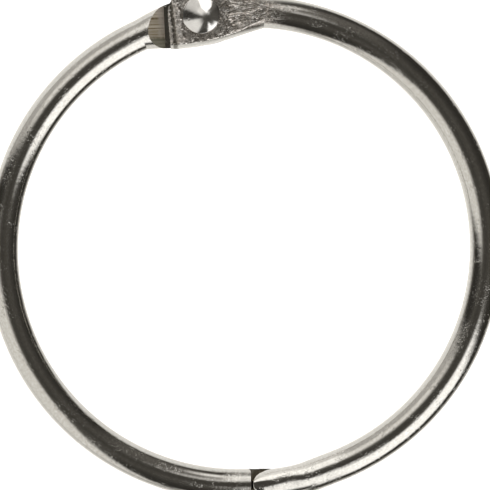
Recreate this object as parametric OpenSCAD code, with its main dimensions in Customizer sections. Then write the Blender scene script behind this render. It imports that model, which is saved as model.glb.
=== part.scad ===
// Hinged binder ring of round wire, in millimetres. It lies flat, with the rivet's head up.
// Each arm is hammered flat at one end into a lug of less than half the wire's thickness.
// The lugs lie on each other under the rivet, and the arms' other ends close in a half lap.

/* [Ring] */
// Diameter of the wire
wire_d = 3.6; // [2.8:0.1:4.4]
// Inside diameter of the circle that each arm follows
inner_d = 49.4; // [40:0.1:64]
// How far each arm's circle stands to the side of the ring's middle line
arc_shift = 0.74; // [0.2:0.02:1.5]

/* [Hinge lugs] */
// Radius of the lug round the rivet
lug_r = 3.3; // [2.8:0.1:4]
// Extra width of the lug towards the inside of the ring, beside the rivet
spread_in = 1.45; // [0.6:0.05:1.8]
// Extra width of the lug's root towards the outside of the ring
spread_out = 0.6; // [0.2:0.1:1.2]
// Distance from the rivet over which the widened root narrows to the wire
root_len = 7.2; // [6.4:0.1:9]
// Distance from the rivet over which the hammered face fades out
press_len = 11; // [9.5:0.5:14]
// Distance from the rivet to the lug's free end
lug_end = 3.8; // [3.2:0.1:4.4]
// Rounding along the rim of the lug's outer face
rim_r = 0.65; // [0.3:0.05:0.9]
// Gap between a lug's free end and the other arm's shoulder
shoulder_gap = 0.6; // [0.3:0.05:1]
// Length of the slanted shoulder, from the lug's flat to the wire's face
shoulder_run = 1.85; // [1:0.05:2.5]
// Lean of the shoulder's edge from square to the ring's middle line
shoulder_skew = 7.6; // [4:0.2:9]
// Lean of the lug's free end
end_skew = 5.5; // [2:0.5:8]
// Spacing of the two ridges across the lug's free end
ridge_pitch = 0.75; // [0.5:0.05:0.9]
// Depth of the grooves between the ridges
groove_depth = 0.12; // [0.04:0.02:0.2]
// How far the lug's free end is worn down
end_drop = 0.35; // [0.1:0.05:0.5]

/* [Rivet] */
// How far the rivet stands outside the middle of the wire
rivet_out = 0.18; // [0:0.01:0.4]
// Diameter of the rivet's shank
shank_d = 2.4; // [1.8:0.1:3]
// Diameter of the rivet's head
head_d = 4.2; // [3.6:0.1:5]
// Height of the head's dome
dome_h = 0.9; // [0.6:0.1:1.6]
// Height of the head's straight rim
head_rim = 0.15; // [0.1:0.05:0.3]
// Diameter of the hammered tail
tail_d = 3.8; // [3.2:0.1:4.6]
// Height of the hammered tail
tail_h = 0.25; // [0.15:0.05:0.4]

/* [Closure] */
// Turn of the lap's line from square to the ring's middle line
lap_tilt = 10.3; // [6:0.1:14]
// Bend between the right arm's straight end and the lap's line
lap_bend = 21; // [18:0.5:24]
// Radius of that bend, along the middle of the wire
bend_r = 12; // [8:0.5:16]
// Length of the half lap
lap_len = 4.2; // [3:0.1:5]
// Length over which the right arm's nose rounds off
nose_round = 3; // [2:0.1:4]
// Length over which the blunt tongue behind rounds off
tongue_round = 1.3; // [0.8:0.1:2]
// Length of the catch's recess behind each shoulder
catch_len = 0.9; // [0.5:0.1:1.2]
// Depth of the catch's recess
catch_depth = 0.35; // [0.1:0.05:0.5]

/* [Fits] */
// Radial clearance of the shank in the moving lug
swing_clear = 0.05; // [0.02:0.01:0.1]
// Clearance between flat faces that slide on each other
face_clear = 0.03; // [0.02:0.01:0.08]
// Gap in the seam, between a lap's end and the other arm's shoulder
seam_gap = 0.1; // [0.05:0.01:0.2]
// Height of the hammered tail above the surface that the ring lies on
tail_clear = 0.05; // [0.02:0.01:0.1]

/* [Smoothness] */
// Points round a quarter of a section in the shaped part of an arm
quarter = 9; // [6:1:10]
// Points round the right arm's nose
nose_sides = 40; // [24:4:56]

/* [Hidden] */
$fn = 96;

nickel = "silver";
wire_r = wire_d / 2;
arc_r = inner_d / 2 + wire_r;
shank_r = shank_d / 2;
lug_t = wire_r - tail_h - tail_clear;
mate_z = face_clear / 2;
toe = lug_end + shoulder_gap;
ridges_len = 2 * ridge_pitch;
// The lug narrows more slowly towards its free end than towards the wire.
free_taper = 0.85;
// The nose's tip is blunt, as if cut off this far from where its rounding ends.
nose_blunt = 0.08;
// A cut runs this far past what it cuts.
past = 1;
// Where two stretches of an arm meet, one stands this far inside the other and starts this deep in it.
inset = 0.02;
sunk = 0.2;
bar_r = wire_r - inset;

// The right arm's line starts over the rivet, at this angle round the centre of its circle.
top_angle = 90 + asin(arc_shift / arc_r);
top_y = sqrt(arc_r * arc_r - arc_shift * arc_shift);
pivot_y = top_y + rivet_out;

// The lap's line runs on from the left arm's arc, and meets the line of the right arm's end.
left_end = polar(-arc_shift, 270 - lap_tilt);
right_angle = 270 - lap_tilt + lap_bend;
right_end = polar(arc_shift, right_angle);
lap_dir = [cos(lap_tilt), -sin(lap_tilt)];
end_dir = [-cos(lap_bend - lap_tilt), -sin(lap_bend - lap_tilt)];
kink_at = cross(right_end - left_end, end_dir) / cross(lap_dir, end_dir);
straight_len = cross(right_end - left_end, lap_dir) / cross(lap_dir, end_dir);
seam_at = kink_at - lap_len;
nose_len = lap_len - seam_gap;
bend_reach = bend_r * tan(lap_bend / 2);
bend_from = nose_len - bend_reach;
bend_run = bend_r * lap_bend * PI / 180;
nose_end = bend_from + bend_run + straight_len - bend_reach + sunk;
kink_y = left_end.y + kink_at * lap_dir.y;

// The middle of the closed ring's outline is the origin, on the surface that it lies on.
ring_y = -(pivot_y + lug_r + kink_y - wire_r) / 2;

function polar(x, angle) = [x + arc_r * cos(angle), arc_r * sin(angle)];
function angle_at(s) = top_angle - s / arc_r * 180 / PI;
function mix(a, b, t) = a + (b - a) * t;
function fade(t) = let (u = min(max(t, 0), 1)) u * u * (3 - 2 * u);

// Half widths of an arm's section at s along its line from the rivet, to the inside and the outside.
function root_share(s) = cos(90 * min((s < 0 ? -s * free_taper : s) / root_len, 1));
function half_in(s) = wire_r + spread_in * root_share(s);
function hub(s) = rivet_out + (s < 0 ? lug_r : sqrt(max(lug_r * lug_r - s * s, 0)));
function half_out(s) = max(wire_r + spread_out * root_share(s), hub(s));

// The hammered face: flat round the rivet, fading to the round wire, ridged at the free end.
function pressed(s) = 1 - fade((s - lug_r) / (press_len - lug_r));
function end_dip(s) =
    let (d = lug_end + s)
    d > ridges_len ? 0
    : end_drop * pow(1 - d / ridges_len, 2)
        + groove_depth * (1 - cos(360 * d / ridge_pitch)) / 2;
function face_z(s) = wire_r - (wire_r - lug_t) * pressed(s) - end_dip(s);

// One section: two rounded corners over the hammered face, and half an ellipse on the other side.
function section(s) =
    let (
        a = half_in(s),
        b = half_out(s),
        z = face_z(s),
        rn = mix(min(a, b) - inset, rim_r, pressed(s)),
        rz = mix(z - inset, rim_r, pressed(s)),
        step = 90 / quarter
    )
    concat(
        [for (i = [0:quarter]) [b - rn + rn * cos(i * step), z - rz + rz * sin(i * step)]],
        [for (i = [0:quarter]) [-a + rn - rn * sin(i * step), z - rz + rz * cos(i * step)]],
        [for (i = [0:2 * quarter])
            let (t = 180 + i * step) [cos(t) * (cos(t) < 0 ? a : b), wire_r * sin(t)]]
    );

// The free end runs on straight past the rivet, and its ridges turn with the leaning end.
function line_at(s) =
    s < 0 ? [s * sin(top_angle), top_y - s * cos(top_angle)] : polar(arc_shift, angle_at(s));
function line_angle(s) =
    s < 0 ? mix(90 - end_skew, top_angle, min((lug_end + s) / ridges_len, 1)) : angle_at(s);

function ring_points(s, shrink) =
    let (a = line_angle(s), middle = line_at(s))
    [for (p = section(s))
        [middle.x + shrink * p[0] * cos(a), middle.y + shrink * p[0] * sin(a), shrink * p[1]]];

// Where the sections stand, close together at the ridges.
function steps(from, to, count) = [for (i = [0:count - 1]) from + (to - from) * i / count];
stations = concat(
    steps(-lug_end, ridges_len - lug_end, 12),
    steps(ridges_len - lug_end, lug_r, 10),
    steps(lug_r, root_len, 8),
    steps(root_len, press_len, 8),
    [press_len, press_len + sunk]
);

// A closed skin over a row of rings, each with as many points as the next.
module loft(rings) {
    last = len(rings) - 1;
    count = len(rings[0]);
    sides = [
        for (i = [0:last - 1], j = [0:count - 1])
            let (k = (j + 1) % count, p = i * count, q = p + count)
            each [[p + j, q + j, q + k], [p + j, q + k, p + k]]
    ];
    caps = [[for (j = [0:count - 1]) j], [for (j = [count - 1:-1:0]) last * count + j]];
    polyhedron(points = [for (ring = rings) each ring], faces = concat(sides, caps));
}

module shaped_end() {
    last = len(stations) - 1;
    loft([for (i = [0:last]) ring_points(stations[i], i > last - 2 ? bar_r / wire_r : 1)]);
}

module at_rivet() {
    translate([0, pivot_y, 0]) children();
}

// What is cut away behind the lug, up to the slanted shoulder.
module shoulder_cut() {
    deep = 1 + past / wire_r;
    at_rivet() rotate([0, 0, shoulder_skew]) rotate([90, 0, 0])
        linear_extrude(height = 4 * lug_r, center = true)
            polygon([
                [-2 * lug_r, mate_z],
                [toe, mate_z],
                [toe + deep * shoulder_run, -deep * wire_r],
                [-2 * lug_r, -deep * wire_r]
            ]);
}

// What is cut off the outer corner of the lug's free end, so that it swings past the shoulder.
module corner_cut() {
    at_rivet() rotate([0, 0, -end_skew])
        difference() {
            translate([-2 * lug_r, 0, -wire_d]) cube([2 * lug_r, 2 * lug_r, 2 * wire_d]);
            translate([0, 0, -wire_d - past]) cylinder(r = lug_end, h = 2 * (wire_d + past));
        }
}

// The hinged end and the arc of an arm whose lug is in front. The arc stops at end_angle.
module arm(end_angle, hole_r) {
    difference() {
        shaped_end();
        shoulder_cut();
        corner_cut();
        at_rivet() cylinder(r = hole_r, h = 2 * wire_d, center = true);
    }
    translate([arc_shift, 0, 0]) rotate([0, 0, end_angle])
        rotate_extrude(angle = angle_at(press_len) - end_angle)
            translate([arc_r, 0]) circle(r = wire_r);
}

// Puts its children on the lap's line, with X onwards towards the right arm.
module at_lap() {
    translate(concat(left_end, 0)) rotate([0, 0, -lap_tilt]) children();
}

// A bar along X that rounds off like half an egg over its last stretch.
module bullet(from, to, round_len) {
    turns = 12;
    rotate([0, 90, 0]) rotate_extrude()
        polygon(concat(
            [[0, from], [bar_r, from]],
            [for (i = [0:turns - 1])
                let (t = 90 * i / turns)
                [bar_r * cos(t), to - round_len * (1 - sin(t))]],
            [[0, to]]
        ));
}

// The right arm's end, from the tip of its nose to its arc: how far it has turned, its line and radius.
function turned(p) = lap_bend * min(max((p - bend_from) / bend_run, 0), 1);
function nose_line(p) =
    let (a = turned(p), on = max(p - bend_from - bend_run, 0))
    [
        min(p, bend_from) + bend_r * sin(a) + on * cos(a),
        bend_r * (1 - cos(a)) + on * sin(a)
    ];
function nose_r(p) = let (t = max(1 - (p + nose_blunt) / nose_round, 0)) bar_r * sqrt(1 - t * t);
function nose_ring(p) =
    let (a = turned(p), middle = nose_line(p), r = nose_r(p))
    [for (i = [0:nose_sides - 1])
        let (t = 360 * i / nose_sides, out = r * cos(t))
        [middle.x - out * sin(a), middle.y + out * cos(a), r * sin(t)]];
nose_stations = concat(
    [for (i = [0:13]) nose_round * (1 - cos(90 * i / 14))],
    steps(nose_round, bend_from + bend_run, 8),
    [bend_from + bend_run, nose_end]
);

// A half of the space round the lap, on the far side of the mating plane from the viewer.
module lap_half(from, to) {
    translate([from, -wire_d, -wire_d]) cube([to - from, 2 * wire_d, wire_d + mate_z]);
}

module recess(from) {
    translate([from, -wire_d, -mate_z - catch_depth])
        cube([catch_len, 2 * wire_d, 2 * catch_depth]);
}

module left_arm() {
    color(nickel) place() {
        rotate([0, 180, 0]) arm(-90 + lap_tilt, shank_r);
        at_lap() difference() {
            bullet(-sunk, kink_at - seam_gap, tongue_round);
            mirror([0, 0, 1]) lap_half(seam_at, kink_at + past);
            recess(seam_at);
        }
    }
}

module right_arm() {
    color(nickel) place() {
        arm(right_angle - 360, shank_r + swing_clear);
        difference() {
            at_lap() translate([seam_at + seam_gap, 0, 0])
                loft([for (p = nose_stations) nose_ring(p)]);
            at_lap() lap_half(seam_at - past, kink_at);
            at_lap() mirror([0, 0, 1]) recess(kink_at - catch_len);
        }
    }
}

module hinge_rivet() {
    under = lug_t + face_clear;
    head_r = head_d / 2;
    ball_r = (head_r * head_r + dome_h * dome_h) / (2 * dome_h);
    color("gainsboro") place() at_rivet() {
        translate([0, 0, -lug_t]) cylinder(r = shank_r, h = lug_t + under);
        translate([0, 0, under]) cylinder(r = head_r, h = head_rim);
        translate([0, 0, under + head_rim]) rotate_extrude() intersection() {
            translate([0, dome_h - ball_r]) circle(r = ball_r);
            square([head_r, dome_h]);
        }
        translate([0, 0, -lug_t - tail_h]) cylinder(r1 = tail_d / 2 - tail_h, r2 = tail_d / 2, h = tail_h);
    }
}

module place() {
    translate([0, ring_y, wire_r]) children();
}

left_arm();
right_arm();
hinge_rivet();
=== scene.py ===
import math

import bmesh
import bpy
import numpy as np
from mathutils import Matrix, Vector


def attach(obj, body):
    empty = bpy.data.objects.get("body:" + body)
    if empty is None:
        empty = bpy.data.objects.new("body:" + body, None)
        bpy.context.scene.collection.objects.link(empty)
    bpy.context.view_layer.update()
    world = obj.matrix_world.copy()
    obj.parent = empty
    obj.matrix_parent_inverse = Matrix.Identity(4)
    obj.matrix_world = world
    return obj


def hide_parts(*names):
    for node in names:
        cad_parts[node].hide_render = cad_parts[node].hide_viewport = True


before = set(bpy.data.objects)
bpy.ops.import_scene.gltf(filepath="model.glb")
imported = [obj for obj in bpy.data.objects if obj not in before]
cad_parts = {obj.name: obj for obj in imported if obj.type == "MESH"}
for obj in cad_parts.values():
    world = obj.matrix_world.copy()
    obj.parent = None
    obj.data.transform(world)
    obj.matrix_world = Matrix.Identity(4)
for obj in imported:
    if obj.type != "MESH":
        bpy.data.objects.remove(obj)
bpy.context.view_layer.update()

MM = 0.001
scene = bpy.context.scene

# The picture in the row's frame: the ring lies turned in it by about ten degrees.
TURN = math.radians(10.35)
RIGHT = Vector((math.cos(TURN), -math.sin(TURN), 0))
UP = Vector((math.sin(TURN), math.cos(TURN), 0))
OUT_OF_FLOOR = Vector((0, 0, 1))
MID = Vector((0.1766, -0.2007, 1.8)) * MM
VIEW_WIDTH = 55.2 * MM


def direction(azimuth, zenith):
    """Azimuth in the picture, from its right side towards its top, and zenith from straight up."""
    a, z = math.radians(azimuth), math.radians(zenith)
    return (RIGHT * math.cos(a) + UP * math.sin(a)) * math.sin(z) + OUT_OF_FLOOR * math.cos(z)


def picture(azimuth):
    """A direction of the picture in the row's plane."""
    return np.array(direction(azimuth, 90))[:2]


def add_object(name, data):
    o = bpy.data.objects.new(name, data)
    scene.collection.objects.link(o)
    return o


# ---------------------------------------------------------------- camera
def add_camera():
    """Straight above, and so far away that it sees the ring almost without perspective."""
    far, sensor = 1.5, 36
    data = bpy.data.cameras.new("camera")
    data.sensor_width = sensor
    data.lens = sensor * far / VIEW_WIDTH
    data.clip_start, data.clip_end = 0.01, 20
    cam = add_object("camera", data)
    turn = Matrix((RIGHT, UP, OUT_OF_FLOOR)).transposed().to_4x4()
    cam.matrix_world = Matrix.Translation(MID + OUT_OF_FLOOR * far) @ turn
    scene.camera = cam


# ---------------------------------------------------------------- nodes
class Nodes:
    """Short names for the nodes of one material, or of the world."""

    def __init__(self, owner, clear=True):
        owner.use_nodes = True
        self.tree = owner.node_tree
        if clear:
            self.tree.nodes.clear()

    def new(self, kind, **settings):
        n = self.tree.nodes.new(kind)
        for key, value in settings.items():
            setattr(n, key, value)
        return n

    def put(self, socket, value):
        """Links a socket or sets it. A colour is three numbers."""
        if isinstance(value, bpy.types.NodeSocket):
            self.tree.links.new(value, socket)
        elif socket.type == "RGBA":
            socket.default_value = (*value, 1)
        else:
            socket.default_value = value

    def make(self, kind, *values, output=0, **settings):
        """Adds a node, fills its first sockets with the values, and gives one output."""
        n = self.new(kind, **settings)
        for socket, value in zip(n.inputs, values):
            self.put(socket, value)
        return n.outputs[output]

    def math(self, kind, *values):
        return self.make("ShaderNodeMath", *values, operation=kind)

    def product(self, first, *others):
        for value in others:
            first = self.math("MULTIPLY", first, value)
        return first

    def dot(self, vector, axis):
        return self.make("ShaderNodeVectorMath", vector, axis, output="Value", operation="DOT_PRODUCT")

    def spread(self, value, low, high, to_low=0.0, to_high=1.0):
        return self.make("ShaderNodeMapRange", value, low, high, to_low, to_high)

    def smooth(self, value, low, high):
        """0 at low and 1 at high, eased between them."""
        return self.make("ShaderNodeMapRange", value, low, high, interpolation_type="SMOOTHSTEP")

    def blend(self, share, a, b):
        n = self.new("ShaderNodeMix", data_type="RGBA")
        for index, value in ((0, share), (6, a), (7, b)):
            self.put(n.inputs[index], value)
        return n.outputs[2]

    def mix(self, share, a, b):
        return self.make("ShaderNodeMixShader", share, a, b)

    def output(self, kind, shader):
        self.put(self.new(kind).inputs[0], shader)


# ---------------------------------------------------------------- light
# The studio's lights, in degrees: azimuth and half the width, where it starts and ends from straight up,
# how softly its sides and its start fade (its end fades by END_SOFT), how much its two sides lean, level
# and colour. A level of 1 is white. Each light lies over those before it.
LIGHTS = [
    # the large box at the lower left
    (218, 29.5, 28, 109, 4.5, 14, 0.4, -0.17, 0.95, (1, 0.985, 0.945)),
    # the upper left: a sheet low down, a dimmer board above it and its bright middle
    (124, 28, 86, 132, 6, 9, 0.6, 0.0, 1.05, (1, 0.99, 0.965)),
    (130, 31, 23, 90, 4.5, 10, 0.15, 0.0, 0.57, (1, 0.975, 0.93)),
    (128, 19, 31, 55, 9, 8, 0.0, 0.0, 1.05, (1, 0.98, 0.94)),
    # right of the top: two dim boards, a faint warm wall and a sheet low down
    (81, 9, 18, 36, 5, 6, 0.0, 0.0, 0.7, (1, 0.98, 0.95)),
    (85, 14, 34, 60, 5, 6, 0.0, 0.0, 0.6, (1, 0.98, 0.95)),
    (70, 14, 34, 82, 8, 10, 0.0, 0.0, 0.14, (1, 0.94, 0.85)),
    (66, 14, 96, 132, 7, 10, 0.8, 0.8, 1.0, (1, 0.99, 0.965)),
    # the top: a strip and its brightest part, with a small one on its right
    (101.5, 11, 27, 132, 3, 6, 0.0, 0.0, 1.1, (1, 0.985, 0.96)),
    (101, 12, 27, 66, 3, 6, 0.0, 0.0, 1.65, (1, 0.99, 0.97)),
    (83, 5, 50, 68, 4, 6, 0.0, 0.0, 1.2, (1, 0.98, 0.95)),
    # the bottom: a sheet low down
    (270, 13, 88, 132, 5, 8, 0.0, 0.0, 1.0, (1, 0.99, 0.96)),
    # the large box at the lower right, and a strip on its left
    (310, 20, 31, 90, 6, 10, -0.2, -0.1, 1.62, (1, 0.995, 0.985)),
    (283.5, 10.5, 18, 68, 4, 7, 0.0, 0.0, 1.5, (1, 0.995, 0.985)),
]
END_SOFT = 8

# Level of the surroundings, by the share of the way from straight up to straight down:
# a dim room above, and a white sheet below.
SURROUNDINGS = [
    (0.0, 0.062), (0.07, 0.08), (0.15, 0.09), (0.21, 0.07), (0.26, 0.058), (0.32, 0.046), (0.38, 0.038),
    (0.46, 0.036), (0.54, 0.045), (0.60, 0.16), (0.64, 0.42), (0.69, 0.80), (0.74, 1.0), (0.82, 1.22),
]
DIM = 0.2
ROOM_TINT, SHEET_TINT = (1, 0.94, 0.83), (1, 0.985, 0.95)
# Towards this azimuth the sheet starts higher by SHEET_LEAN degrees, and on the other side lower.
SHEET_HIGH_AT = 160
SHEET_LEAN = 18

# The card of painted shade fades in between these two distances from the ring's middle.
SHADE_CARD_EDGE = (30.8 * MM, 38 * MM)
SHADE_CARD_COLOUR = (0.045, 0.042, 0.036)

LAMP_FAR = 0.6
LAMPS = [("key", 311, 50, 0.5, 1.3), ("fill", 213, 55, 0.5, 0.9), ("ceiling", 100, 30, 0.45, 1.0)]


def add_lamps():
    """Soft square lamps where the two large boxes and the ceiling are. They light the floor."""
    for name, azimuth, zenith, size, level in LAMPS:
        data = bpy.data.lights.new(name, "AREA")
        data.shape = "SQUARE"
        data.size = size
        data.energy = level * math.pi * size * size
        lamp = add_object(name, data)
        back = direction(azimuth, zenith)
        side = OUT_OF_FLOOR.cross(back).normalized()
        turn = Matrix((side, back.cross(side), back)).transposed().to_4x4()
        lamp.matrix_world = Matrix.Translation(back * LAMP_FAR) @ turn
        lamp.visible_camera = False
        lamp.visible_glossy = False


def add_world():
    """What the metal reflects. Other rays find an even grey, and the camera a white background."""
    world = bpy.data.worlds.new("studio")
    scene.world = world
    k = Nodes(world)
    coords = k.new("ShaderNodeTexCoord").outputs["Generated"]

    def degrees(value):
        return k.math("MULTIPLY", value, 180 / math.pi)

    def until(value, end, soft):
        return k.smooth(value, end + soft, end - soft)

    zenith = degrees(k.math("ARCCOSINE", k.dot(coords, OUT_OF_FLOOR)))
    lean = k.math("MULTIPLY", k.dot(coords, direction(SHEET_HIGH_AT, 90)), SHEET_LEAN)
    ramp = k.new("ShaderNodeValToRGB")
    k.put(ramp.inputs[0], k.math("DIVIDE", k.math("ADD", zenith, lean), 180))
    stops = ramp.color_ramp.elements
    stops[0].position, stops[1].position = SURROUNDINGS[0][0], SURROUNDINGS[-1][0]
    for at, _ in SURROUNDINGS[1:-1]:
        stops.new(at)
    for stop, (_, level) in zip(stops, SURROUNDINGS):
        tint = ROOM_TINT if level < DIM else SHEET_TINT
        stop.color = (*(level * t for t in tint), 1)
    colour = ramp.outputs[0]

    below = k.math("SUBTRACT", zenith, 90)
    height = k.math("MULTIPLY", zenith, -1)
    for azimuth, half, start, end, soft, start_soft, lean_a, lean_b, level, tint in LIGHTS:
        across, middle = k.dot(coords, direction(azimuth + 90, 90)), k.dot(coords, direction(azimuth, 90))
        turn = degrees(k.math("ARCTAN2", across, middle))
        side_a = k.math("SUBTRACT", turn, k.math("MULTIPLY", below, lean_a))
        side_b = k.math("SUBTRACT", k.math("MULTIPLY", turn, -1), k.math("MULTIPLY", below, lean_b))
        mask = k.product(
            until(side_a, half, soft), until(side_b, half, soft),
            until(zenith, end, END_SOFT), until(height, -start, start_soft))
        colour = k.blend(mask, colour, [level * t for t in tint])

    path = k.new("ShaderNodeLightPath")
    grey = k.make("ShaderNodeBackground", (0.5, 0.5, 0.5))
    white = k.make("ShaderNodeBackground", (1, 1, 1))
    found = k.mix(path.outputs["Is Glossy Ray"], grey, k.make("ShaderNodeBackground", colour))
    k.output("ShaderNodeOutputWorld", k.mix(path.outputs["Is Camera Ray"], found, white))


def sheet(name, half):
    """A level square in the plane of the floor, and the nodes of its material, which is still empty."""
    data = bpy.data.meshes.new(name)
    corners = [(-half, -half, 0), (half, -half, 0), (half, half, 0), (-half, half, 0)]
    data.from_pydata(corners, [], [(0, 1, 2, 3)])
    mat = bpy.data.materials.new(name)
    data.materials.append(mat)
    return add_object(name, data), Nodes(mat)


def add_shade_card():
    """Painted shade: a dark card that lies outside the ring on its right and shows only in the metal, where
    it stands in for shaded floor.
    """
    shade_card, k = sheet("shade_card", 0.4)
    shade_card.visible_camera = shade_card.visible_diffuse = shade_card.visible_shadow = shade_card.visible_transmission = False
    coords = k.new("ShaderNodeTexCoord").outputs["Object"]
    away = k.make("ShaderNodeVectorMath", coords, output="Value", operation="LENGTH")

    def towards(azimuth):
        return k.math("DIVIDE", k.dot(coords, direction(azimuth, 90)), away)

    mask = k.product(
        k.smooth(away, *SHADE_CARD_EDGE), k.smooth(towards(14), 0.1, 0.6), k.smooth(towards(72), -0.14, 0.14))
    clear = k.make("ShaderNodeBsdfTransparent")
    dark = k.make("ShaderNodeEmission", SHADE_CARD_COLOUR)
    k.output("ShaderNodeOutputMaterial", k.mix(mask, clear, dark))


def add_floor():
    """Pale paper that takes shadows, and looks nearly white to the camera. The metal does not see it."""
    floor, k = sheet("floor", 3.0)
    floor.visible_glossy = False
    paper = k.make("ShaderNodeBsdfDiffuse", (0.86, 0.86, 0.86))
    none = k.make("ShaderNodeEmission", (1, 1, 1), 0)
    glow = k.make("ShaderNodeEmission", (1, 1, 1), 0.8)
    seen = k.new("ShaderNodeLightPath").outputs["Is Camera Ray"]
    k.output("ShaderNodeOutputMaterial", k.make("ShaderNodeAddShader", paper, k.mix(seen, none, glow)))


# ---------------------------------------------------------------- sizes, in millimetres, as in the CAD
WIRE_R = 1.8
ARC_R = 26.5
ARC_SHIFT = 0.74
LUG_R = 3.3
SPREAD_IN = 1.45
SPREAD_OUT = 0.6
ROOT_LEN = 7.2
PRESS_LEN = 11.0
LUG_END = 3.8
RIM_W = 0.48
TOE = 4.22
SHOULDER_RUN = 1.85
SHOULDER_SKEW = 7.6
END_SKEW = 5.5
RIDGES_LEN = 1.5
RIVET_OUT = 0.18
SHANK_R = 1.2
HOLE_R = 1.25
LUG_T = 1.5
MATE_Z = 0.015
LAP_TILT = 10.3
LAP_BEND = 21.0
BEND_R = 12.0
LAP_LEN = 4.2
NOSE_ROUND = 3.0
NOSE_BLUNT = 0.08
SEAM_GAP = 0.1
TONGUE_ROUND = 1.3
CATCH_LEN = 0.9
CATCH_DEPTH = 0.35
HEAD_RIM = 0.15
DOME_H = 0.9
TAIL_H = 0.25

# ---------------------------------------------------------------- sizes of what only this model has
TIGHT = 0.003       # room between the left arm's hole and the shank
CORNER_R = 0.4      # the left arm's corner beside the nose
RIM_FOOT = 0.1      # how high over the mid-plane the lug's rim starts to round
RIDGES_DEPTH = 0.2  # how far the lug's worn free end drops
GROOVES = [(0.52, 0.19, 0.17), (1.15, 0.16, 0.05)]  # from the free end: place, half width, depth
NOSE_CREST = 0.12   # how far the nose's crest drops over its last CREST_LEN
CREST_LEN = 4.6
OUTER_BLUNT = 0.06  # the nose's rounding on the outside of the ring, which is shorter than inside
OUTER_ROUND = 1.7
TIP_BLUNT = 0.02    # the nose's rounding from its crest down to its tip
TIP_ROUND = 0.24
HEAD_R = 2.14       # the rivet's head, whose lower edge is bevelled by HEAD_EDGE
HEAD_EDGE = 0.06
CROWN = (0.62, -0.52)   # the head's highest point, from its middle
BALL_D = 6.2        # the ball round the crown, which turns into a cone CONE_FROM away from it
CONE_FROM = 1.6
CONE_SLOPE = 0.516
FLAT_AWAY = 1.85    # from the crown to the head's small flat
FLAT_TILT = 27      # degrees
FLAT_SUNK = 0.05

# How the script tells points and faces apart.
FRONT_Z = 0.3       # above this a point is on the lug's hammered front
HINGE_REACH = 8     # nearer than this to the rivet it is part of the hinge
CLOSURE_Y = -20     # below this it is part of the closure
ALIGNED = 0.999     # cosine of the angle within which a face has a cut's direction

RAD = math.pi / 180
TOP_A = 90 + math.degrees(math.asin(ARC_SHIFT / ARC_R))
TOP_Y = math.sqrt(ARC_R**2 - ARC_SHIFT**2)
PIVOT_Y = TOP_Y + RIVET_OUT


def heading(angle):
    """The direction at an angle in degrees, from the row's x towards its y."""
    return np.array([math.cos(angle * RAD), math.sin(angle * RAD)])


def polar(x, angle):
    """A point of the arc whose centre is at x."""
    return np.array([x, 0]) + ARC_R * heading(angle)


def cross2(a, b):
    return a[0] * b[1] - a[1] * b[0]


# The closure: the left arm runs on straight along LAP_DIR, and the right arm bends where it meets that line.
LAP_DIR = heading(-LAP_TILT)
END_DIR = -heading(LAP_BEND - LAP_TILT)
LEFT_END = polar(-ARC_SHIFT, 270 - LAP_TILT)
RIGHT_A = 270 - LAP_TILT + LAP_BEND
RIGHT_END = polar(ARC_SHIFT, RIGHT_A)
KINK_AT = cross2(RIGHT_END - LEFT_END, END_DIR) / cross2(LAP_DIR, END_DIR)
STRAIGHT = cross2(RIGHT_END - LEFT_END, LAP_DIR) / cross2(LAP_DIR, END_DIR)
SEAM_AT = KINK_AT - LAP_LEN
NOSE_LEN = LAP_LEN - SEAM_GAP
BEND_REACH = BEND_R * math.tan(LAP_BEND * RAD / 2)
BEND_RUN = BEND_R * LAP_BEND * RAD
KINK_Y = LEFT_END[1] + KINK_AT * LAP_DIR[1]

# From the ring's own middle and mid-plane, which the sizes use, to the row's frame.
RING_Y = -(PIVOT_Y + LUG_R + KINK_Y - WIRE_R) / 2
RING_AT = [0, RING_Y, WIRE_R]


def ring_mm(points):
    """From the ring's own middle to the row's frame, in metres."""
    return (np.asarray(points) + RING_AT) * MM


def triples(items, key):
    """What each item of a mesh stores as three numbers, such as its place, in one array."""
    out = np.empty(len(items) * 3, np.float32)
    items.foreach_get(key, out)
    return out.reshape(-1, 3)


def store(data, name, kind, key, values):
    values = np.asarray(values).astype(np.float32)
    data.attributes.new(name, kind, "POINT").data.foreach_set(key, values.ravel())


# ---------------------------------------------------------------- mesh tools
def mesh_object(name, points, faces):
    data = bpy.data.meshes.new(name)
    data.from_pydata([tuple(p) for p in points], [], faces)
    data.validate()
    return add_object(name, data)


def loft(rings):
    """Faces of a closed skin over rows of rings, wound outwards."""
    rows, count = len(rings), len(rings[0])
    faces = []
    for i in range(rows - 1):
        a, b = i * count, (i + 1) * count
        for j in range(count):
            k = (j + 1) % count
            faces.append((a + j, a + k, b + k, b + j))
    faces.append(tuple(range(count - 1, -1, -1)))
    faces.append(tuple((rows - 1) * count + j for j in range(count)))
    return faces


def cut(o, cutters):
    """Cuts the cutters out of o for good."""
    for c in cutters:
        mod = o.modifiers.new("cut", "BOOLEAN")
        mod.operation = "DIFFERENCE"
        mod.solver = "MANIFOLD"
        mod.object = c
    dg = bpy.context.evaluated_depsgraph_get()
    done = bpy.data.meshes.new_from_object(o.evaluated_get(dg))
    o.modifiers.clear()
    done.materials.clear()
    o.data = done
    for c in cutters:
        bpy.data.objects.remove(c)


def prism(name, outline, turn, height, at):
    """A straight cutter: an outline in its own plane, turned, centred along its height."""
    n = len(outline)
    pts = []
    for h in (-height / 2, height / 2):
        for x, y in outline:
            pts.append(at + turn @ np.array([x, y, h]))
    faces = [tuple(range(n - 1, -1, -1)), tuple(range(n, 2 * n))]
    faces += [(i, (i + 1) % n, n + (i + 1) % n, n + i) for i in range(n)]
    o = mesh_object(name, ring_mm(pts), faces)
    bm = bmesh.new()
    bm.from_mesh(o.data)
    bmesh.ops.recalc_face_normals(bm, faces=bm.faces)
    bm.to_mesh(o.data)
    bm.free()
    return o


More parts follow.
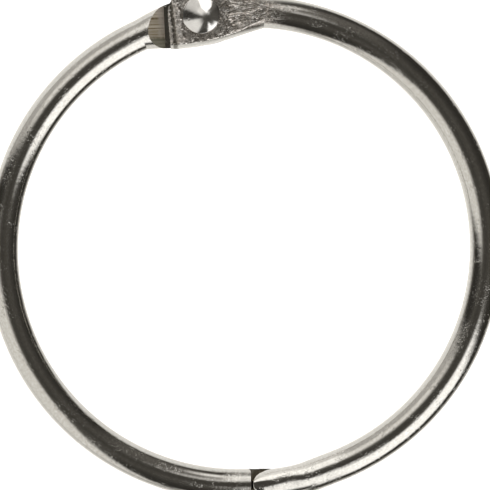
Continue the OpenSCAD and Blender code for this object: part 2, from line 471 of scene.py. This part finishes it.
def block(name, low, high, turn, at):
    """A cutter between two corners, turned."""
    x0, y0, z0 = low
    x1, y1, z1 = high
    mid = at + turn @ np.array([0, 0, (z0 + z1) / 2])
    return prism(name, [(x0, y0), (x1, y0), (x1, y1), (x0, y1)], turn, z1 - z0, mid)


def turn_z(angle):
    c, s = math.cos(angle * RAD), math.sin(angle * RAD)
    return np.array([[c, -s, 0], [s, c, 0], [0, 0, 1.0]])


def arc_points(x, y, radius, angles):
    return [(x + radius * math.cos(t * RAD), y + radius * math.sin(t * RAD)) for t in angles]


def smooth_faces(o, sharp):
    """Shades o smooth, with edges over sharp degrees kept sharp."""
    for p in o.data.polygons:
        p.use_smooth = True
    o.data.set_sharp_from_angle(angle=math.radians(sharp))


def fade(t):
    """0 up to 0 and 1 from 1 on, eased in and out."""
    t = np.clip(t, 0, 1)
    return t * t * (3 - 2 * t)


def noise(x, y, seed):
    """Smooth random hills between 0 and 1, one unit apart."""
    size = 64
    grid = np.random.default_rng(seed).random((size, size))
    xi, yi = np.floor(x).astype(int), np.floor(y).astype(int)
    fx, fy = fade(x - xi), fade(y - yi)
    a = grid[xi % size, yi % size] * (1 - fx) + grid[(xi + 1) % size, yi % size] * fx
    b = grid[xi % size, (yi + 1) % size] * (1 - fx) + grid[(xi + 1) % size, (yi + 1) % size] * fx
    return a * (1 - fy) + b * fy


def folds(x, y, seed):
    """Sharp-crested folds between 0 and 1, along the half-way lines of random hills."""
    return (1 - np.abs(2 * noise(x, y, seed) - 1)) ** 4


# ---------------------------------------------------------------- one section of an arm
# Each arm is a loft along its wire. s is the way from the rivet, negative towards the lug's free end.
TOP_N, BOTTOM_N = 104, 56


def half_widths(s, taper):
    """Half widths to the inside and the outside. The taper is how fast the lug's free end narrows."""
    share = math.cos(90 * RAD * min((-s * taper if s < 0 else s) / ROOT_LEN, 1))
    hub = RIVET_OUT + (LUG_R if s < 0 else math.sqrt(max(LUG_R**2 - s * s, 0)))
    return WIRE_R + SPREAD_IN * share, max(WIRE_R + SPREAD_OUT * share, hub)


def pressed(s):
    """How far the wire is hammered flat: 1 at the lug, and 0 where it is round."""
    return 1 - float(fade((s - LUG_R) / (PRESS_LEN - LUG_R)))


def end_dip(s):
    """How far the face drops near the free end, with the grooves between its ridges."""
    d = LUG_END + s
    if d > RIDGES_LEN:
        return 0.0
    grooves = sum(depth * math.exp(-(((d - at) / width) ** 2)) for at, width, depth in GROOVES)
    return RIDGES_DEPTH * (1 - d / RIDGES_LEN) ** 2 + grooves


def rough_face(s, across, x, seed):
    """What the hammer left on the flat: pits round the rivet, and creases that run into the wire.

    x is the place across in millimetres, and across the same as a share of the half width. Heights are in
    millimetres.
    """
    pits = (noise(s / 0.2, x / 0.2, seed) - 0.5) * 0.02
    pits = pits + (noise(s / 0.33 + 9, x / 0.33, seed + 1) - 0.5) * 0.05
    warp = (noise(s / 1.1, x / 1.1 + 30, seed + 2) - 0.5) * 1.4
    some = fade((noise(s / 0.8, across * 6 + 50, seed + 5) - 0.42) / 0.2)
    fold = folds(s / 1.5 + warp, across * 9 + warp, seed + 3) * 0.075 * some
    fine = folds(s / 0.7 + warp, across * 15 + 2 * warp, seed + 4) * 0.032
    swell = (noise(s / 1.3 + 5, across * 2.2 + 70, seed + 6) - 0.5) * 0.10
    pitted = 1.2 - 0.8 * fade((s - 2.6) / 1.6)
    creased = fade((s - 2.2) / 1.2)
    end = fade((s + LUG_END - 0.75) / 0.3)
    return pits * pitted * (0.25 + 0.75 * end) + (fold + fine + swell) * creased


def even(points, count):
    """The same line with its points evenly spread, less its last one."""
    step = np.hypot(*np.diff(points, axis=0).T)
    at = np.concatenate([[0], np.cumsum(step)])
    want = np.linspace(0, at[-1], count + 1)[:-1]
    return np.stack([np.interp(want, at, points[:, 0]), np.interp(want, at, points[:, 1])], 1)


def section(s, wide, high, seed, taper):
    """Places across and up of one section: the front skin from outside to inside, then the back skin."""
    quarter = np.linspace(0, math.pi / 2, 60)
    back_half = np.linspace(math.pi, 2 * math.pi, 160)
    hammered = s < PRESS_LEN
    if hammered:
        a, b = half_widths(s, taper)
        press = pressed(s)
        z = WIRE_R - (WIRE_R - LUG_T) * press - end_dip(s)
        rim = min(a, b) * (1 - press) + RIM_W * press
        rise = z * (1 - press) + (z - RIM_FOOT) * press
        bevel = 1 + 0.6 * press
    else:
        a, b = wide
        rim = min(a, b)
        z = rise = high
        bevel = 1.0
    c, d = np.cos(quarter) ** bevel, np.sin(quarter) ** bevel
    front = np.concatenate([
        np.stack([b - rim + rim * c, z - rise + rise * d], 1),
        np.stack([-a + rim - rim * d, z - rise + rise * c], 1),
    ])
    across = np.where(np.cos(back_half) < 0, a, b) * np.cos(back_half)
    back = np.stack([across, high * np.sin(back_half)], 1)
    front, back = even(front, TOP_N), even(back, BOTTOM_N)
    if hammered:
        x = front[:, 0]
        side = np.where(x > 0, b, a)
        room = fade((side - np.abs(x) - 0.8 * rim) / 0.3)
        front[:, 1] += rough_face(s + 0 * x, x / side, x, seed) * room * min(1, press * 2.2)
    return np.concatenate([front, back])


# ---------------------------------------------------------------- the arms
def arm_line(side):
    """The stages of an arm's middle line: a length, and a radius or None where it is straight."""
    if side > 0:
        end_angle = RIGHT_A - 360
        rest = [(STRAIGHT - BEND_REACH, None), (BEND_RUN, BEND_R), (NOSE_LEN - BEND_REACH, None)]
    else:
        end_angle = -90 + LAP_TILT
        rest = [(KINK_AT - SEAM_GAP, None)]
    return [((TOP_A - end_angle) * RAD * ARC_R, ARC_R)] + rest


def place_on(s, stages):
    """Middle of the wire at s from the rivet, and the direction out of the ring, in degrees."""
    if s < 0:
        lean = (TOP_A - 90 + END_SKEW) * (1 - min((LUG_END + s) / RIDGES_LEN, 1))
        return np.array([s * math.sin(TOP_A * RAD), TOP_Y - s * math.cos(TOP_A * RAD)]), TOP_A - lean
    at, a = polar(ARC_SHIFT, TOP_A), TOP_A
    for length, radius in stages:
        go = min(s, length)
        out = heading(a)
        if radius:
            turn = go / radius / RAD
            new = heading(a - turn)
            at, a = at + radius * (new - out), a - turn
        else:
            at = at + go * np.array([out[1], -out[0]])
        s -= go
        if s <= 0:
            break
    return at, a


def dome(left, length):
    """The share of its full size that a rounded end has, where left is still to go to its tip."""
    t = max(1 - left / length, 0)
    return math.sqrt(max(1 - t * t, 1e-6))


def arm_shape(side, left):
    """Half widths and half height of the round wire, where left is still to go to the arm's tip."""
    if side < 0:
        high = WIRE_R * dome(left, TONGUE_ROUND)
        return (high, high), high
    # The nose is rounded off to the sides, less so outside, and keeps its height almost to its tip.
    inside = WIRE_R * dome(left + NOSE_BLUNT, NOSE_ROUND)
    outside = WIRE_R * dome(left + OUTER_BLUNT, OUTER_ROUND)
    crest = WIRE_R - NOSE_CREST * max(1 - left / CREST_LEN, 0) ** 1.35
    return (inside, outside), crest * dome(left + TIP_BLUNT, TIP_ROUND)


def crest_lean(left):
    """How far the right arm's crest lies to the inside of the ring, most of all on the nose's root."""
    return 0.2 * (1 - float(fade((left - 3.6) / 3.8))) + 0.25 * math.exp(-(((left - 4.4) / 1.6) ** 2))


def build_arm(name, side, seed):
    """One arm. side is 1 for the right arm, and -1 for the left arm, which is turned over."""
    stages = arm_line(side)
    tip = sum(length for length, _ in stages)
    round_len, taper = (NOSE_ROUND, 0.85) if side > 0 else (TONGUE_ROUND, 1.15)
    end_from, dense_from = tip - round_len, tip - round_len - 8
    stations = np.concatenate([
        np.arange(-LUG_END, PRESS_LEN, 0.07),
        np.linspace(PRESS_LEN, dense_from, 110)[:-1],
        np.linspace(dense_from, end_from, 40)[:-1],
        tip - round_len * (1 - np.sin(np.linspace(0, 1.57, 46))),
    ])
    rings, frames = [], []
    for s in stations:
        left = tip - s
        wide, high = arm_shape(side, left)
        at, a = place_on(s, stages)
        out = heading(a)
        p = section(s, wide, high, seed, taper)
        if side > 0:
            p[:, 0] -= crest_lean(left) * np.maximum(p[:, 1], 0) / high
        rings.append(np.stack([at[0] + p[:, 0] * out[0], at[1] + p[:, 0] * out[1], p[:, 1]], 1))
        frames.append((s, *at, *out))
    over = np.array([side, 1, side])
    o = mesh_object(name, ring_mm(np.concatenate(rings) * over), loft(rings))
    cut(o, hinge_cutters(side) + closure_cutters(side))
    mark(o, np.array(frames), over, side, taper)
    smooth_faces(o, 32)
    return o


def hinge_cutters(side):
    """What the shoulder, the corner behind it and the rivet's hole take away."""
    over = np.diag([side, 1, side])
    hub = np.array([0, PIVOT_Y, 0])
    upright = np.array([[1, 0, 0], [0, 0, -1], [0, 1, 0.0]])
    deep = 1 + 1 / WIRE_R
    far = 2 * LUG_R
    low = -deep * WIRE_R
    shoulder = [(-far, MATE_Z), (TOE, MATE_Z), (TOE + deep * SHOULDER_RUN, low), (-far, low)]
    corner = arc_points(0, 0, LUG_END, range(90, 181, 3)) + [(-far, 0), (-far, far), (0, far)]
    hole = arc_points(0, 0, HOLE_R if side > 0 else SHANK_R + TIGHT, range(0, 360, 5))
    return [
        prism("cut_shoulder", shoulder, over @ turn_z(SHOULDER_SKEW) @ upright, 2 * far, hub),
        prism("cut_corner", corner, over @ turn_z(-END_SKEW), 4 * WIRE_R, hub),
        prism("cut_hole", hole, np.eye(3), 4 * WIRE_R, hub),
    ]


def closure_cutters(side):
    """What the half lap and its catch take away, and the left arm's rounded corner beside the nose."""
    turn, at = turn_z(-LAP_TILT), np.array([*LEFT_END, 0])
    far, past = 2 * WIRE_R, 1
    if side > 0:
        lap = (SEAM_AT - past, -far, -far), (KINK_AT, far, MATE_Z)
        catch = (KINK_AT - CATCH_LEN, -far, 0), (KINK_AT, far, MATE_Z + CATCH_DEPTH)
    else:
        lap = (SEAM_AT, -far, -MATE_Z), (KINK_AT + past, far, far)
        catch = (SEAM_AT, -far, -MATE_Z - CATCH_DEPTH), (SEAM_AT + CATCH_LEN, far, 0)
    cutters = [block("cut_lap", *lap, turn, at), block("cut_catch", *catch, turn, at)]
    if side < 0:
        x, y = SEAM_AT - CORNER_R, WIRE_R - CORNER_R
        outline = arc_points(x, y, CORNER_R, range(0, 91, 10))
        outline += [(x, WIRE_R + past), (SEAM_AT + past, WIRE_R + past), (SEAM_AT + past, y)]
        deep = 4.0
        cutters.append(prism("cut_round", outline, turn, deep, at + np.array([0, 0, deep / 2 - MATE_Z])))
    return cutters


def mark(o, frames, over, side, taper):
    """Stores how far along, across and up each point of an arm is, and which faces are bare cuts."""
    data = o.data
    p = (triples(data.vertices, "co") / MM - RING_AT) * over
    near, at_once = np.empty(len(p), int), 4000
    for i in range(0, len(p), at_once):
        some = p[i:i + at_once, None]
        gap = (some[..., 0] - frames[:, 1]) ** 2 + (some[..., 1] - frames[:, 2]) ** 2
        near[i:i + at_once] = gap.argmin(1)
    f = frames[near]
    dx, dy = p[:, 0] - f[:, 1], p[:, 1] - f[:, 2]
    x = dx * f[:, 3] + dy * f[:, 4]
    s = f[:, 0] + dx * f[:, 4] - dy * f[:, 3]
    store(data, "wire", "FLOAT_VECTOR", "vector", np.stack([s, x, p[:, 2]], 1))
    a, b = np.array([half_widths(v, taper) if v < PRESS_LEN else (WIRE_R, WIRE_R) for v in s]).T
    press = np.array([pressed(v) for v in s])
    edge = np.where(x > 0, b, a) - np.abs(x)
    flat = np.clip((edge - 0.42) / 0.2, 0, 1) * np.clip(press * 2.5, 0, 1) * (p[:, 2] > FRONT_Z)
    store(data, "hammered", "FLOAT", "value", flat)
    # How far each point is from the hinge's line in the direction that the shoulder was sheared.
    skew_c, skew_s = math.cos(SHOULDER_SKEW * RAD), math.sin(SHOULDER_SKEW * RAD)
    store(data, "grain", "FLOAT", "value", (p[:, 1] - PIVOT_Y) * skew_c - p[:, 0] * skew_s)
    # Faces that the cuts left: 1 on the shoulder, and 2 at the closure.
    normal = triples(data.polygons, "normal") * over
    centre = (triples(data.polygons, "center") / MM - RING_AT) * over
    x, y, z = centre.T
    near_hub = (np.abs(y - PIVOT_Y) < HINGE_REACH) & (np.abs(x) < HINGE_REACH)
    slope = math.hypot(SHOULDER_RUN, WIRE_R)
    sheared = np.array([-WIRE_R / slope * skew_c, -WIRE_R / slope * skew_s, -SHOULDER_RUN / slope])
    on_shoulder = (normal @ sheared > ALIGNED) & near_hub
    low = y < CLOSURE_Y
    level = low & (np.abs(z) < CATCH_DEPTH + 0.1) & (np.abs(normal[:, 2]) > ALIGNED)
    facing = normal[:, 0] * math.cos(LAP_TILT * RAD) * side - normal[:, 1] * math.sin(LAP_TILT * RAD)
    seam = low & (z < 0) & (np.abs(normal[:, 2]) < 0.02) & (np.abs(facing) > ALIGNED)
    index = np.zeros(len(centre), np.int32)
    index[on_shoulder] = 1
    index[level | seam] = 2
    data.polygons.foreach_set("material_index", index)


# ---------------------------------------------------------------- the rivet
def build_rivet():
    """The rivet: a dome whose crown stands off its middle, a shank and a flat hammered tail."""
    flat_x, flat_y = CROWN + FLAT_AWAY * picture(88)
    flat_dir = picture(97)
    flat_drop = CONE_FROM**2 / BALL_D + (FLAT_AWAY - CONE_FROM) * CONE_SLOPE + FLAT_SUNK
    under = LUG_T + 0.03
    sides = 96
    ang = np.arange(sides) * 2 * math.pi / sides

    def ring(r, z):
        return np.stack([r * np.cos(ang), PIVOT_Y + r * np.sin(ang), z + 0 * ang], 1)

    profile = [
        (0.02, -LUG_T - TAIL_H), (1.55, -LUG_T - TAIL_H), (1.65, -LUG_T - 0.235), (1.86, -LUG_T - 0.04),
        (1.88, -LUG_T), (SHANK_R, -LUG_T), (SHANK_R, under), (HEAD_R - HEAD_EDGE, under),
        (HEAD_R, under + HEAD_EDGE),
    ]
    rings = [ring(r, z) for r, z in profile]
    # Rows from the head's rim to its middle, closest together at the rim, where the dome falls steeply.
    for q in np.concatenate([1 - 0.1 * np.linspace(0, 1, 26) ** 1.8, np.linspace(0.9, 0.01, 60)[1:]]):
        x, y = HEAD_R * q * np.cos(ang), HEAD_R * q * np.sin(ang)
        # A ball near the crown, and a cone towards the far rim.
        off = np.hypot(x - CROWN[0], y - CROWN[1])
        drop = np.minimum(off, CONE_FROM) ** 2 / BALL_D + np.maximum(off - CONE_FROM, 0) * CONE_SLOPE
        # A small flat that faces the back.
        past = (x - flat_x) * flat_dir[0] + (y - flat_y) * flat_dir[1]
        level = flat_drop + math.tan(FLAT_TILT * RAD) * past
        z = (DOME_H + HEAD_RIM - HEAD_EDGE - np.maximum(drop, level)) * (1 - q**70)
        rings.append(ring(HEAD_R * q, under + HEAD_EDGE + z))
    o = mesh_object("rivet_steel", ring_mm(np.concatenate(rings)), loft(rings))
    at = triples(o.data.vertices, "co") / MM - [0, PIVOT_Y + RING_Y, WIRE_R]
    store(o.data, "wire", "FLOAT_VECTOR", "vector", at)
    smooth_faces(o, 30)
    return o


# ---------------------------------------------------------------- materials
class Metal(Nodes):
    """The nodes of one metal. Its patterns follow the places along, across and up that the meshes store."""

    def __init__(self, name):
        self.mat = bpy.data.materials.new(name)
        super().__init__(self.mat, clear=False)
        self.wire = self.new("ShaderNodeAttribute", attribute_name="wire").outputs["Vector"]

    def stored(self, name):
        return self.new("ShaderNodeAttribute", attribute_name=name).outputs["Fac"]

    def split(self):
        """Places along and up the wire."""
        n = self.new("ShaderNodeSeparateXYZ")
        self.put(n.inputs[0], self.wire)
        return n.outputs["X"], n.outputs["Z"]

    def scaled(self, scale):
        n = self.new("ShaderNodeMapping")
        self.put(n.inputs["Vector"], self.wire)
        self.put(n.inputs["Scale"], scale)
        return n.outputs[0]

    def noise(self, scale, detail=2.0, rough=0.5, warp=0.0):
        """Noise whose grain per millimetre along, across and up the wire is scale."""
        n = self.new("ShaderNodeTexNoise")
        values = {"Scale": 1.0, "Detail": detail, "Roughness": rough, "Distortion": warp}
        for key, value in {"Vector": self.scaled(scale), **values}.items():
            self.put(n.inputs[key], value)
        return n.outputs["Fac"]

    def cells(self, per_mm):
        """How far it is to the middle of the nearest of many random cells."""
        n = self.new("ShaderNodeTexVoronoi")
        self.put(n.inputs["Vector"], self.scaled((per_mm, per_mm, per_mm)))
        self.put(n.inputs["Scale"], 1.0)
        return n.outputs["Distance"]

    def bump(self, height, depth_mm, under=None):
        n = self.new("ShaderNodeBump")
        for key, value in (("Strength", 1), ("Distance", depth_mm * MM), ("Height", height)):
            self.put(n.inputs[key], value)
        if under is not None:
            self.put(n.inputs["Normal"], under)
        return n.outputs[0]

    def bumps(self, *layers):
        """Layers of height and depth in millimetres, each over those before it."""
        normal = None
        for height, depth_mm in layers:
            normal = self.bump(height, depth_mm, normal)
        return normal

    def finish(self, colour, rough, normal, metallic=1.0):
        shader = self.tree.nodes["Principled BSDF"]
        values = {"Base Color": colour, "Metallic": metallic, "Roughness": rough, "Normal": normal}
        for key, value in values.items():
            self.put(shader.inputs[key], value)
        return self.mat


def nickel_material():
    """Bright nickel on drawn wire: draw lines, hairlines, tiny pits, and dull brown where hammered."""
    k = Metal("nickel")
    worn = k.stored("hammered")
    along, up = k.split()
    lines = k.noise((0.12, 5, 5), 4, 0.6)
    hair = k.noise((0.5, 22, 22), 3, 0.6)
    haze = k.noise((0.35, 0.8, 0.8), 3, 0.55)
    grain = k.noise((6, 9, 9), 2, 0.6)
    ripple = k.noise((2.6, 0.5, 0.5), 3, 0.6)
    pebbles = k.cells(2.7)
    sparkle = k.spread(k.noise((3.2, 5, 5), 2, 0.6), 0.55, 0.85)
    sparkle = k.product(sparkle, k.spread(k.noise((0.5, 0.7, 0.7), 2, 0.5), 0.46, 0.6))
    specks = k.product(k.spread(k.cells(2.4), 0.04, 0.12, 1, 0), k.spread(haze, 0.5, 0.62))

    # Colour of the plating: draw lines, bands across the wire, two sizes of mottling and dark specks.
    tint = k.blend(k.spread(lines, 0.35, 0.65), (0.675, 0.655, 0.615), (0.715, 0.70, 0.665))
    tint = k.blend(k.spread(ripple, 0.40, 0.66, 0, 0.5), tint, (0.60, 0.585, 0.55))
    tint = k.blend(k.spread(k.noise((2.6, 4, 4), 3, 0.7), 0.42, 0.62, 0, 0.45), tint, (0.55, 0.53, 0.49))
    tint = k.blend(k.spread(k.noise((4, 6, 6), 2, 0.7), 0.36, 0.6, 0, 0.4), tint, (0.50, 0.475, 0.43))
    tint = k.blend(specks, tint, (0.36, 0.33, 0.28))
    # Colour of the hammered faces: brown, and darker between the pebbles.
    stain = k.spread(k.noise((1.6, 1.6, 1.6), 4, 0.6), 0.35, 0.65)
    brown = k.blend(stain, (0.60, 0.545, 0.49), (0.72, 0.69, 0.65))
    brown = k.blend(k.spread(pebbles, 0.35, 0.6, 0, 0.4), brown, (0.36, 0.33, 0.29))
    colour = k.blend(worn, tint, brown)
    # Painted shade in the groove beside the lug's free end.
    wander = k.spread(k.noise((2, 2, 2)), 0.3, 0.7, -0.08, 0.08)
    off = k.math("ABSOLUTE", k.math("ADD", k.math("SUBTRACT", along, GROOVES[0][0] - LUG_END), wander))
    groove_shade = k.product(k.spread(off, 0.10, 0.27, 0.85, 0), k.math("GREATER_THAN", up, FRONT_Z))
    colour = k.blend(groove_shade, colour, (0.10, 0.09, 0.07))
    # Painted shade on the mating face between the lug's end and the other arm's shoulder, where the lug's
    # shadow falls.
    gap_shade = k.spread(k.math("ABSOLUTE", up), 0.03, 0.06, 0.45, 0)
    at_hinge = k.math("LESS_THAN", k.math("ABSOLUTE", along), HINGE_REACH)
    colour = k.blend(k.product(gap_shade, at_hinge), colour, (0.30, 0.28, 0.23))

    # Roughness: hazy, with hairlines, and duller on the hammered faces, most of all round the rivet.
    near = k.spread(along, 2.4, 4.2, 1, 0)
    rough = k.spread(haze, 0.35, 0.7, 0.085, 0.15)
    rough = k.math("ADD", rough, k.product(k.spread(hair, 0.55, 0.75), 0.06))
    rough = k.math("ADD", rough, k.product(worn, k.math("ADD", 0.10, k.product(near, 0.05))))
    rough = k.math("ADD", rough, k.product(worn, k.spread(along, -2.7, -1.5, 0.10, 0)))

    # Relief: pebbles near the rivet, creases where the lug runs into the wire, dents in its free end.
    creases = k.noise((0.75, 5.5, 1), 3, 0.6, 0.9)
    creases = k.math("SUBTRACT", 1, k.math("ABSOLUTE", k.math("SUBTRACT", k.product(creases, 2), 1)))
    creases = k.math("POWER", creases, 6)
    uneven = k.product(k.noise((3.4, 4.6, 3.4), 3, 0.6), worn)
    free_end = k.product(k.spread(along, -2.5, -2.1, 1, 0), worn)
    normal = k.bumps(
        (k.product(pebbles, worn, near), 0.055),
        (k.product(creases, worn, k.math("SUBTRACT", 1, near)), 0.009),
        (k.product(uneven, k.math("ADD", k.product(near, 0.6), 0.4)), 0.02),
        (k.product(k.noise((1.7, 2.6, 1.7), 1, 0.5), free_end), 0.2),
        (k.noise((0.6, 0.25, 0.25), 2, 0.5), 0.016),
        (lines, 0.0035),
        (hair, 0.0008),
        (grain, 0.0022),
        (ripple, 0.003),
        (sparkle, 0.02),
        (specks, -0.01),
    )
    return k.finish(colour, rough, normal)


def shoulder_material():
    """The sheared shoulder: warm grey-brown, matte, with fine lines in the direction of the shear."""
    k = Metal("sheared_shoulder")
    away = k.stored("grain")
    along, _ = k.split()
    lines = k.new("ShaderNodeTexNoise", noise_dimensions="1D")
    for key, value in (("W", away), ("Scale", 3.4), ("Detail", 4)):
        k.put(lines.inputs[key], value)
    lines = lines.outputs["Fac"]
    mottle = k.noise((1.3, 1.3, 1.3), 3, 0.6)
    colour = k.blend(k.spread(lines, 0.41, 0.57), (0.19, 0.145, 0.08), (0.57, 0.505, 0.40))
    colour = k.blend(k.spread(along, 4.45, 4.95, 0.6, 0), colour, (0.56, 0.50, 0.46))
    colour = k.blend(k.product(k.spread(mottle, 0.45, 0.7), 0.6), colour, (0.50, 0.46, 0.40))
    # Tarnish along the edge at the inside of the ring.
    edge = k.math("ADD", away, k.spread(mottle, 0.3, 0.7, -0.2, 0.2))
    colour = k.blend(k.spread(edge, -2.5, -2.15, 0.75, 0), colour, (0.16, 0.16, 0.12))
    normal = k.bumps((lines, 0.03), (k.noise((9, 9, 9), 3, 0.6), 0.006))
    return k.finish(colour, k.spread(mottle, 0.3, 0.7, 0.42, 0.56), normal, 0.4)


def seam_material():
    """The closure's cut faces: dull, brownish, with marks of the cutter across the wire."""
    k = Metal("cut_face")
    marks = k.noise((7, 0.8, 0.8), 3, 0.6)
    mottle = k.noise((1.4, 1.4, 1.4), 3, 0.6)
    colour = k.blend(k.spread(mottle, 0.35, 0.65), (0.30, 0.26, 0.20), (0.50, 0.46, 0.39))
    return k.finish(colour, k.spread(mottle, 0.3, 0.7, 0.30, 0.42), k.bump(marks, 0.02))


def rivet_material():
    """Brighter plating on the rivet's head, with a few dents and hairlines."""
    k = Metal("rivet_plating")
    haze = k.noise((0.9, 0.9, 0.9), 3, 0.55)
    hair = k.noise((2.5, 14, 3), 3, 0.6)
    dents = k.spread(k.cells(1.3), 0.05, 0.2, 1, 0)
    colour = k.blend(k.spread(haze, 0.35, 0.65), (0.70, 0.68, 0.655), (0.76, 0.745, 0.72))
    rough = k.math("ADD", k.spread(haze, 0.35, 0.7, 0.11, 0.18), k.product(k.spread(hair, 0.55, 0.75), 0.05))
    return k.finish(colour, rough, k.bumps((dents, -0.006), (haze, 0.02), (hair, 0.0012)))


# ---------------------------------------------------------------- the scene
add_camera()
add_lamps()
add_world()
add_floor()
add_shade_card()

plating, shoulder, seam, head = nickel_material(), shoulder_material(), seam_material(), rivet_material()
for node, body, side, seed in (("left_arm", "fixed", -1, 21), ("right_arm", "swinging", 1, 5)):
    arm = build_arm(node + "_steel", side, seed)
    for material in (plating, shoulder, seam):
        arm.data.materials.append(material)
    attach(arm, body)
    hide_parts(node)
rivet = build_rivet()
rivet.data.materials.append(head)
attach(rivet, "fixed")
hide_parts("hinge_rivet")

scene.view_settings.view_transform = "Standard"
